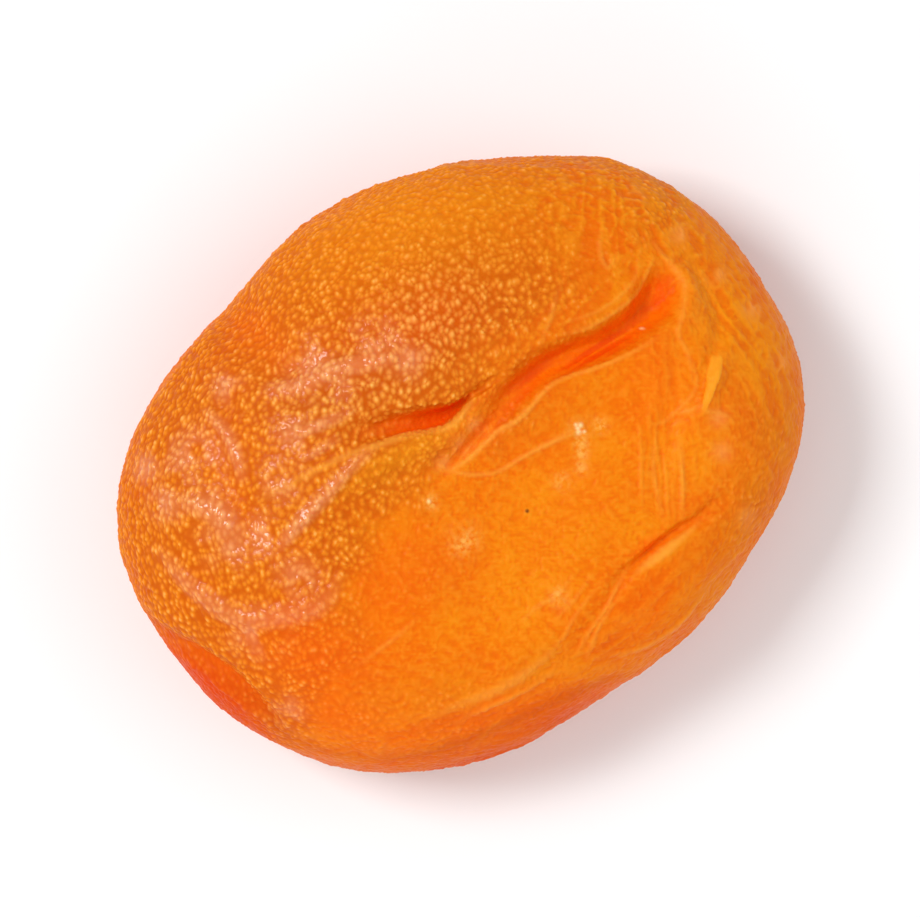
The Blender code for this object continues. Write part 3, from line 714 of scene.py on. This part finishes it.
def rough_rim(fruit):
    """Fine winding relief, like a maze, along the right rim and low round the sides."""
    maze = Lattice(GRAIN_SEED + 1)
    winding = 1 - np.abs(maze.noise(fruit.plain + 0.4 * maze.noise(fruit.plain, 0.9)[:, None], MAZE_SPACE))
    share = np.maximum(*(swell(fruit.plain, place) for place in MAZE_PLACES)) * fruit.on_top
    share = np.maximum(share, MAZE_BELOW * (1 - fruit.on_top))
    return MAZE_HEIGHT * share * (winding**2 - WRINKLE_SINK)


def side_wrinkles(fruit):
    """Long wrinkles that run round the sides and over the hidden face."""
    angle = np.arctan2(fruit.directions[:, 1], fruit.directions[:, 0])
    height = np.zeros(len(angle))
    for number, (length, space, rise) in enumerate(SIDE_WRINKLES):
        noise = Lattice(WRINKLE_SEED + 40 + number)
        ring = 18.0 / length
        bent = fruit.plain[:, 2] / space + 0.6 * noise.noise(fruit.plain, 3.0)
        round_rim = np.stack([ring * np.cos(angle), ring * np.sin(angle), bent], axis=1)
        crest = 1 - np.sqrt(noise.noise(round_rim, 1.0) ** 2 + 0.01)
        height += rise * (crest**2 - 0.5)
    return height * (1 - smooth(0.15, 0.55, fruit.directions[:, 2])) * fruit.beside_rest


def highest(fruit, routes, flat=0.0):
    """The greatest height at each point of ridges along some routes."""
    height = np.zeros(len(fruit.plain))
    for route in routes:
        height = np.maximum(height, crease(fruit.plain, Crease(route=route, flat=flat))[0])
    return height * fruit.on_top


def straight_wrinkles():
    """Routes of the straight wrinkles, with sines in place of chance for their bows and shifts."""
    start, end = np.array(STRAIGHT_FROM), np.array(STRAIGHT_TO)
    across = np.array([start[1] - end[1], end[0] - start[0]]) / np.linalg.norm(end - start)
    for number, space in enumerate(STRAIGHT_SPACES):
        bow = 0.16 * math.sin(2.0 * number) * across
        shift = (0.05 + 0.12 * math.sin(5.0 * number)) * (end - start)
        spots = (start, start * 0.67 + end * 0.33 + bow, start * 0.33 + end * 0.67 - bow, end)
        height = STRAIGHT_HEIGHT * (0.65 + 0.35 * math.sin(2.7 * number + 1.0))
        heights = (0.0, height, height, 0.0)
        yield [(*(spot + shift + space * across), rise, 0.21) for spot, rise in zip(spots, heights)]


def hem(fruit):
    """From 0 to 1, how much each point lies on the band outside the hem line and on the line itself, both
    painted with shade.
    """
    route = [(x, y, share, 1.0) for x, y, share in HEM_LINE]
    share, seam_shade = np.zeros(len(fruit.plain)), np.zeros(len(fruit.plain))
    near = near_route(fruit.plain, Crease(route=route, above=HEM_REACH))
    for some in np.array_split(near, MESH_PARTS):
        if len(some):
            distance, values, _ = beside_route(fruit.plain[some], route)
            share[some] = smooth(*HEM_FADE, -distance) * values[:, 0]
            seam_shade[some] = np.exp(-((distance / SEAM_SHADE_WIDTH) ** 2)) * values[:, 0]
    shown = smooth(*HEM_HEIGHTS, fruit.directions[:, 2])
    return share * shown, seam_shade * shown


def spread(fruit, forms):
    """From 0 to 1, how much each point lies in some broad soft places of the upper face."""
    return np.clip(sum(swell(fruit.plain, form) for form in forms), 0.0, 1.0) * fruit.on_top


def patches(points, places, sharp=1.0):
    """From 0 to 1, how much each point lies in round places, given as (x, y, radius).

    The larger sharp is, the steeper their edges."""
    share = np.zeros(len(points))
    for x, y, radius in places:
        away = np.hypot(points[:, 0] - x, points[:, 1] - y) / radius
        share = np.maximum(share, np.exp(-(away ** (2 * sharp))))
    return share


def grains():
    """Small places inside each fleck, by chance."""
    draw = np.random.default_rng(GRAIN_SEED)
    places = []
    for x, y, radius, count in FLECKS:
        for _ in range(count):
            turn, away = draw.uniform(0, TURN), radius * math.sqrt(draw.uniform())
            grain = draw.uniform(*GRAIN_RADII)
            places.append((x + away * math.cos(turn), y + away * math.sin(turn), grain))
    return places


def fine_mesh():
    """A closed sphere of small faces, with the upper half's split once more."""
    sphere = bmesh.new()
    bmesh.ops.create_icosphere(sphere, subdivisions=SPHERE_SUBDIVISIONS, radius=1.0)
    edges = [e for e in sphere.edges if e.verts[0].co.z > SPLIT_ABOVE and e.verts[1].co.z > SPLIT_ABOVE]
    bmesh.ops.subdivide_edges(sphere, edges=edges, cuts=1)
    bmesh.ops.triangulate(sphere, faces=sphere.faces)
    mesh = bpy.data.meshes.new("fruit_skin")
    sphere.to_mesh(mesh)
    sphere.free()
    return mesh


def corners(mesh, what="co"):
    """Every corner's place or normal, as rows of three."""
    values = np.zeros(len(mesh.vertices) * 3)
    mesh.vertices.foreach_get(what, values)
    return values.reshape(-1, 3)


def move_corners(mesh, points):
    mesh.vertices.foreach_set("co", (points * MM).ravel())
    mesh.update()


def keep(mesh, name, values):
    """Stores one number at each corner for the material to read."""
    layer = mesh.attributes.new(name, "FLOAT", "POINT")
    layer.data.foreach_set("value", values.astype(np.float32))


DISC_RADIUS = 0.24


def lay_out(mesh, directions):
    """A map with two discs side by side, for the baked pictures: the upper half and the lower."""
    faces = np.zeros(len(mesh.polygons) * 3, dtype=int)
    mesh.loops.foreach_get("vertex_index", faces)
    spots = directions[faces]
    upper = np.repeat(spots.reshape(-1, 3, 3)[:, :, 2].mean(axis=1) > 0, 3)
    rise = np.where(upper, spots[:, 2], -spots[:, 2])
    reach = DISC_RADIUS * np.arccos(np.clip(rise, -1, 1)) / (math.pi / 2)
    flat = np.maximum(np.hypot(spots[:, 0], spots[:, 1]), 1e-9)
    across = np.where(upper, 0.25, 0.75) + reach * spots[:, 0] / flat * np.where(upper, 1, -1)
    places = np.stack([across, 0.25 + reach * spots[:, 1] / flat], axis=1)
    mesh.uv_layers.new(name="OFBake").data.foreach_set("uv", places.ravel())


def dressed(fruit, normals):
    """Height of the fine relief at each point, and the numbers there that the material reads."""
    grain, on_top = fruit.grain, fruit.on_top
    warp = np.stack([grain.noise(fruit.points + shift, WARP_SIZE) for shift in (0.0, 31.0, 67.0)], axis=1)
    band, seam_shade = hem(fruit)
    pebbly = pebbled(fruit, band)
    relief, dome = pebbles(fruit, normals, warp, pebbly)
    relief += UNEVEN_HEIGHT * (grain.noise(fruit.plain, 1.6) + 0.5 * grain.noise(fruit.plain + 50.0, 0.7))
    grit = ripples(fruit.points + GRAIN_WARP * warp, GRAIN_SPACES, GRAIN_SEED)
    relief += GRAIN_HEIGHT * grit

    fine = wrinkled(fruit) + rough_rim(fruit)
    round_sides = side_wrinkles(fruit)
    straight = highest(fruit, straight_wrinkles())
    ridge = highest(fruit, HIGHLIGHTED_RIDGES)
    fold = highest(fruit, SOFT_FOLDS)
    flake = highest(fruit, (FLAKE,), flat=FLAKE_FLATNESS)
    relief += ridge + fine + fold + flake + straight + round_sides
    fleck = patches(fruit.plain, grains(), 1.5) * on_top * mottled(fruit, RAGGED_FLECKS)
    relief += FLECK_HEIGHT * fleck

    # The lowest skin keeps its plain shape, so that the fruit still rests on its flat spot
    relief *= smooth(0.1, 0.6, fruit.points[:, 2])

    # The lower sides get their painted bounced light and shade below this height
    high = fruit.directions[:, 2] + UNDER_SHADE_UNEVEN * grain.noise(fruit.plain + 70.0, 4.0)
    broken = mottled(fruit, BROKEN_SHEEN)
    return relief, {
        "pebbly": pebbly,
        "dome": dome,
        "fold": np.clip(fold / FOLD_SHEEN_FROM, 0.0, 1.0),
        "grit": np.clip(0.5 + 0.4 * grit, 0.0, 1.0),
        "crease_shade": smooth(0.05, 1.1, fruit.depth) * on_top,
        "pocket_shade": patches(fruit.plain, POCKET_SHADE_PLACES) * on_top,
        "ridge_highlight": np.clip(ridge / RIDGE_HIGHLIGHT_FROM, 0.0, 1.0),
        "crest": np.clip(0.5 + fine / 0.08 + straight / 0.12 + 1.2 * round_sides, 0.0, 1.0),
        "flake": smooth(0.01, 0.08, flake),
        "hem": band,
        "seam_shade": seam_shade,
        "under": 1 - smooth(*UNDER_SHADE_FADE, high),
        "gloss_and_sheen": patches(fruit.plain, GLOSS_AND_SHEEN_PATCHES) * on_top * broken,
        "pink_sheen": patches(fruit.plain, PINK_SHEEN_PATCHES) * on_top,
        "sharp": spread(fruit, SHARP_CONTRAST_PLACES),
        "golden_tone_and_light": spread(fruit, GOLDEN_TONE_AND_LIGHT_PLACES),
        "ruddy_tone_and_shade": spread(fruit, RUDDY_TONE_AND_SHADE_PLACES),
        "fleck": fleck,
        "bloom": patches(fruit.plain, BLOOM) * on_top * (0.4 + 0.6 * broken),
        "speck": patches(fruit.plain, SPECKS, 2.0) * on_top,
    }


def make_fruit():
    mesh = fine_mesh()
    directions = corners(mesh)
    directions /= np.linalg.norm(directions, axis=1, keepdims=True)
    fruit = Fruit(directions)
    move_corners(mesh, fruit.points)
    normals = corners(mesh, "normal")
    relief, masks = dressed(fruit, normals)
    move_corners(mesh, fruit.points + relief[:, None] * normals)
    mesh.shade_smooth()
    for name, values in masks.items():
        keep(mesh, name, values)
    lay_out(mesh, directions)

    skin = bpy.data.objects.new("fruit", mesh)
    bpy.context.scene.collection.objects.link(skin)
    mesh.materials.append(skin_material())
    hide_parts("apricot")
    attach(skin, "root")


class Nodes:
    """Short calls for the nodes of one material."""

    def __init__(self, material):
        material.use_nodes = True
        self.tree = material.node_tree
        self.shader = self.tree.nodes["Principled BSDF"]

    def add(self, kind, values=None, **settings):
        node = self.tree.nodes.new(kind)
        for name, value in settings.items():
            setattr(node, name, value)
        for name, value in (values or {}).items():
            self.feed(node.inputs[name], value)
        return node

    def feed(self, socket, value):
        if isinstance(value, bpy.types.NodeSocket):
            self.tree.links.new(value, socket)
        else:
            socket.default_value = value

    def mask(self, name):
        return self.add("ShaderNodeAttribute", attribute_name=name).outputs["Fac"]

    def math(self, operation, first, second):
        node = self.add("ShaderNodeMath", operation=operation)
        self.feed(node.inputs[0], first)
        self.feed(node.inputs[1], second)
        return node.outputs[0]

    def mix(self, share, first, second):
        node = self.add("ShaderNodeMix", data_type="RGBA")
        self.feed(node.inputs[0], share)
        self.feed(node.inputs[6], first)
        self.feed(node.inputs[7], second)
        return node.outputs[2]

    def noise(self, size_mm, detail=3.0):
        place = self.add("ShaderNodeTexCoord").outputs["Object"]
        values = {"Vector": place, "Scale": 1 / (size_mm * MM), "Detail": detail}
        return self.add("ShaderNodeTexNoise", values).outputs["Fac"]

    def remap(self, value, low, high, to_low=0.0, to_high=1.0):
        values = {"Value": value, "From Min": low, "From Max": high, "To Min": to_low, "To Max": to_high}
        return self.add("ShaderNodeMapRange", values).outputs["Result"]


# Colours of the skin, several of them painted light and shade: shade in creases, the pocket, pebble gaps and
# along the hem, light bounced from neighbouring fruit on the lower sides, highlights on pebble tops, crests
# and ridges, and pinkish sheen.
SMOOTH_ORANGE = (0.84, 0.17, 0.001, 1.0)
SMOOTH_YELLOW = (0.86, 0.235, 0.002, 1.0)
PALE_GRIT_AND_CREST_HIGHLIGHT = (0.90, 0.29, 0.012, 1.0)
RED_GRIT_AND_TROUGH_SHADE = (0.78, 0.10, 0.001, 1.0)
PEBBLE_GAP_TONE_AND_SHADE = (0.60, 0.098, 0.002, 1.0)
PEBBLE_TOP_TONE_AND_LIGHT = (0.98, 0.345, 0.016, 1.0)
PEBBLE_PAINTED_GLINT = (0.99, 0.53, 0.15, 1.0)
SHARP_GAP_SHADE = (0.50, 0.062, 0.001, 1.0)
SHARP_TOP_HIGHLIGHT = (1.0, 0.58, 0.15, 1.0)
PAINTED_SHEEN_GAP = (0.70, 0.17, 0.035, 1.0)
PAINTED_SHEEN_TOP = (0.95, 0.43, 0.15, 1.0)
GOLDEN_TONE_AND_LIGHT = (0.90, 0.35, 0.006, 1.0)
RUDDY_TONE_AND_SHADE = (0.94, 0.11, 0.001, 1.0)
HEM_SHADE_RED = (0.72, 0.04, 0.001, 1.0)
SEAM_SHADE_RED = (0.55, 0.045, 0.001, 1.0)
PINK_SHEEN = (0.95, 0.33, 0.08, 1.0)
UNDER_SHADE_ORANGE = (0.88, 0.105, 0.001, 1.0)
CREASE_SHADE_ORANGE = (0.91, 0.165, 0.001, 1.0)
CREASE_SHADE_STREAK = (0.84, 0.08, 0.001, 1.0)
POCKET_SHADE_RED = (0.90, 0.125, 0.001, 1.0)
RIDGE_HIGHLIGHT = (0.94, 0.40, 0.05, 1.0)
FLAKE_YELLOW = (0.95, 0.37, 0.02, 1.0)
BLOOM_PALE = (0.95, 0.47, 0.09, 1.0)
FLECK = (0.96, 0.62, 0.28, 1.0)
SPECK = (0.22, 0.05, 0.006, 1.0)

# Broad tints laid over the ground and the pebbles, in this order: mask, strength, colour. The lower sides,
# the hem band and its seam are painted shade and bounced light; the golden and ruddy tints are partly the
# skin's own tone, partly painted light and shade.
TINTS = (
    ("under", 0.25, UNDER_SHADE_ORANGE), ("golden_tone_and_light", 0.7, GOLDEN_TONE_AND_LIGHT), ("ruddy_tone_and_shade", 0.7, RUDDY_TONE_AND_SHADE), ("hem", 0.8, HEM_SHADE_RED),
    ("seam_shade", 0.5, SEAM_SHADE_RED),
)


def skin_colour(nodes, gloss_and_painted_sheen):
    """The skin's colour: an even ground, pebbles on it, broad tints, and then the small marks, with painted
    shade, bounced light, highlights and sheen among them.
    """
    def layer(share, amount, colour, other):
        return nodes.mix(nodes.math("MULTIPLY", share, amount), colour, other)

    even = nodes.mix(nodes.remap(nodes.noise(3.5), 0.35, 0.65), SMOOTH_ORANGE, SMOOTH_YELLOW)
    even = nodes.mix(nodes.remap(nodes.mask("grit"), 0.45, 1.0, 0.0, 0.45), even, PALE_GRIT_AND_CREST_HIGHLIGHT)
    even = nodes.mix(nodes.remap(nodes.mask("grit"), 0.45, 0.0, 0.0, 0.35), even, RED_GRIT_AND_TROUGH_SHADE)
    # Redder lower sides: painted light bounced from neighbouring fruit, and painted shade
    even = layer(nodes.mask("under"), 0.7, even, UNDER_SHADE_ORANGE)
    # Pebble gaps are darker, partly as painted shade, and tops paler, partly as painted highlight, with a
    # painted glint at each top; the sharp places deepen both
    shaded_gaps = layer(nodes.mask("sharp"), 0.7, PEBBLE_GAP_TONE_AND_SHADE, SHARP_GAP_SHADE)
    shaded_gaps = nodes.mix(gloss_and_painted_sheen, shaded_gaps, PAINTED_SHEEN_GAP)
    lit_tops = nodes.mix(nodes.remap(nodes.mask("dome"), 0.55, 0.95, 0.0, 0.7), PEBBLE_TOP_TONE_AND_LIGHT, PEBBLE_PAINTED_GLINT)
    lit_tops = layer(nodes.mask("sharp"), 0.55, lit_tops, SHARP_TOP_HIGHLIGHT)
    # Painted pinkish sheen on the pebble gaps and tops of the sheen patches and fold crests
    lit_tops = nodes.mix(gloss_and_painted_sheen, lit_tops, PAINTED_SHEEN_TOP)
    colour = layer(nodes.mask("pebbly"), 0.9, even, nodes.mix(nodes.mask("dome"), shaded_gaps, lit_tops))
    colour = nodes.mix(nodes.remap(nodes.noise(6.0), 0.5, 0.7, 0.0, 0.22), colour, RED_GRIT_AND_TROUGH_SHADE)
    # Broad tints, among them painted shade and bounced light
    for name, strength, tint in TINTS:
        colour = layer(nodes.mask(name), strength, colour, tint)
    # Paler on the wrinkle crests as painted highlight and redder in their troughs as painted shade
    colour = nodes.mix(nodes.remap(nodes.mask("crest"), 0.5, 1.0, 0.0, 0.5), colour, PALE_GRIT_AND_CREST_HIGHLIGHT)
    colour = nodes.mix(nodes.remap(nodes.mask("crest"), 0.5, 0.1, 0.0, 0.5), colour, RED_GRIT_AND_TROUGH_SHADE)
    # Painted pinkish sheen on the wrinkle crests in the pink patches
    colour = layer(nodes.math("MULTIPLY", nodes.mask("pink_sheen"), nodes.mask("crest")), 0.7, colour, PINK_SHEEN)
    # Painted shade in the creases: redder, and darker along the troughs of their fine wrinkles
    shaded_streaks = nodes.mix(nodes.remap(nodes.mask("crest"), 0.3, 0.7), CREASE_SHADE_STREAK, CREASE_SHADE_ORANGE)
    colour = layer(nodes.mask("crease_shade"), 0.85, colour, shaded_streaks)
    # Deeper painted shade on the pocket's floor
    colour = layer(nodes.mask("pocket_shade"), nodes.mask("crease_shade"), colour, POCKET_SHADE_RED)
    # Painted highlight along the raised ridges
    colour = layer(nodes.mask("ridge_highlight"), 0.5, colour, RIDGE_HIGHLIGHT)
    powdery = nodes.remap(nodes.noise(0.35, 5.0), 0.38, 0.6, 0.05, 0.9)
    colour = layer(nodes.mask("bloom"), powdery, colour, BLOOM_PALE)
    colour = layer(nodes.mask("flake"), 0.7, colour, FLAKE_YELLOW)
    colour = nodes.mix(nodes.mask("fleck"), colour, FLECK)
    return nodes.mix(nodes.mask("speck"), colour, SPECK)


def skin_material():
    material = bpy.data.materials.new("dried_skin")
    nodes = Nodes(material)
    # A glossier coat, and painted pinkish sheen in the colour, on the sheen patches and fold crests
    gloss_and_painted_sheen = nodes.math("MAXIMUM", nodes.mask("gloss_and_sheen"), nodes.mask("fold"))
    shader = nodes.shader
    nodes.feed(shader.inputs["Base Color"], skin_colour(nodes, gloss_and_painted_sheen))
    nodes.feed(shader.inputs["Roughness"], nodes.remap(nodes.noise(0.5), 0.3, 0.7, 0.34, 0.48))
    shader.inputs["IOR"].default_value = 1.45
    shader.inputs["Specular IOR Level"].default_value = 0.06
    sheen = nodes.math("MULTIPLY", gloss_and_painted_sheen, nodes.mask("pebbly"))
    nodes.feed(shader.inputs["Coat Weight"], nodes.remap(sheen, 0.05, 1.0, 0.0, 0.8))
    shader.inputs["Coat Roughness"].default_value = 0.14
    shader.subsurface_method = "RANDOM_WALK"
    shader.inputs["Subsurface Weight"].default_value = 0.2
    shader.inputs["Subsurface Radius"].default_value = (1.0, 0.35, 0.08)
    shader.inputs["Subsurface Scale"].default_value = 0.8 * MM

    fine = nodes.add("ShaderNodeBump", {"Height": nodes.noise(0.16), "Strength": 0.4, "Distance": 0.05 * MM})
    nodes.feed(shader.inputs["Normal"], fine.outputs["Normal"])
    return material


def make_floor():
    bpy.ops.mesh.primitive_plane_add(size=3.0)
    floor = bpy.context.object
    floor.name = "floor"
    material = bpy.data.materials.new("pale_floor")
    nodes = Nodes(material)
    nodes.shader.inputs["Base Color"].default_value = (0.95, 0.95, 0.955, 1.0)
    nodes.shader.inputs["Roughness"].default_value = 0.7
    floor.data.materials.append(material)


# The lights: name, place, size and power. All face one point in the middle of the fruit.
LIGHTS = (
    ("key", (-0.16, 0.19, 0.40), 0.15, 1.12),
    ("fill", (0.30, -0.16, 0.32), 0.40, 0.40),
    ("low", (-0.20, -0.26, 0.16), 0.35, 0.28),
)
LIGHT_AIM = Vector((0, 0, 0.008))
WORLD_STRENGTH = 0.54


def make_light(name, place, size, power):
    """A square soft light that faces the fruit."""
    lamp = bpy.data.lights.new(name, "AREA")
    lamp.size = size
    lamp.energy = power
    light = bpy.data.objects.new(name, lamp)
    bpy.context.scene.collection.objects.link(light)
    light.location = place
    light.rotation_euler = (LIGHT_AIM - light.location).to_track_quat("-Z", "Y").to_euler()


def make_lights():
    world = bpy.data.worlds.new("studio")
    world.use_nodes = True
    background = world.node_tree.nodes["Background"]
    background.inputs["Color"].default_value = (1.0, 1.0, 1.0, 1.0)
    background.inputs["Strength"].default_value = WORLD_STRENGTH
    bpy.context.scene.world = world
    for light in LIGHTS:
        make_light(*light)


# The camera looks straight down: its lens and sensor, how much of the fruit's middle plane it sees
# across, the height of that plane, and its roll in degrees, which turns the furrow as in the photo
LENS = 200.0
SENSOR = 36.0
VIEW_WIDTH = 55.0
MIDDLE_HEIGHT = 8.5
ROLL = 29.0


def make_camera():
    lens = bpy.data.cameras.new("camera")
    lens.lens = LENS
    lens.sensor_width = SENSOR
    lens.clip_start = 0.01
    camera = bpy.data.objects.new("camera", lens)
    bpy.context.scene.collection.objects.link(camera)
    camera.location = (0.0, 0.0, (MIDDLE_HEIGHT + VIEW_WIDTH / SENSOR * LENS) * MM)
    camera.rotation_euler = (0.0, 0.0, -math.radians(ROLL))
    bpy.context.scene.camera = camera


make_fruit()
make_floor()
make_lights()
make_camera()
bpy.context.scene.view_settings.view_transform = "Standard"
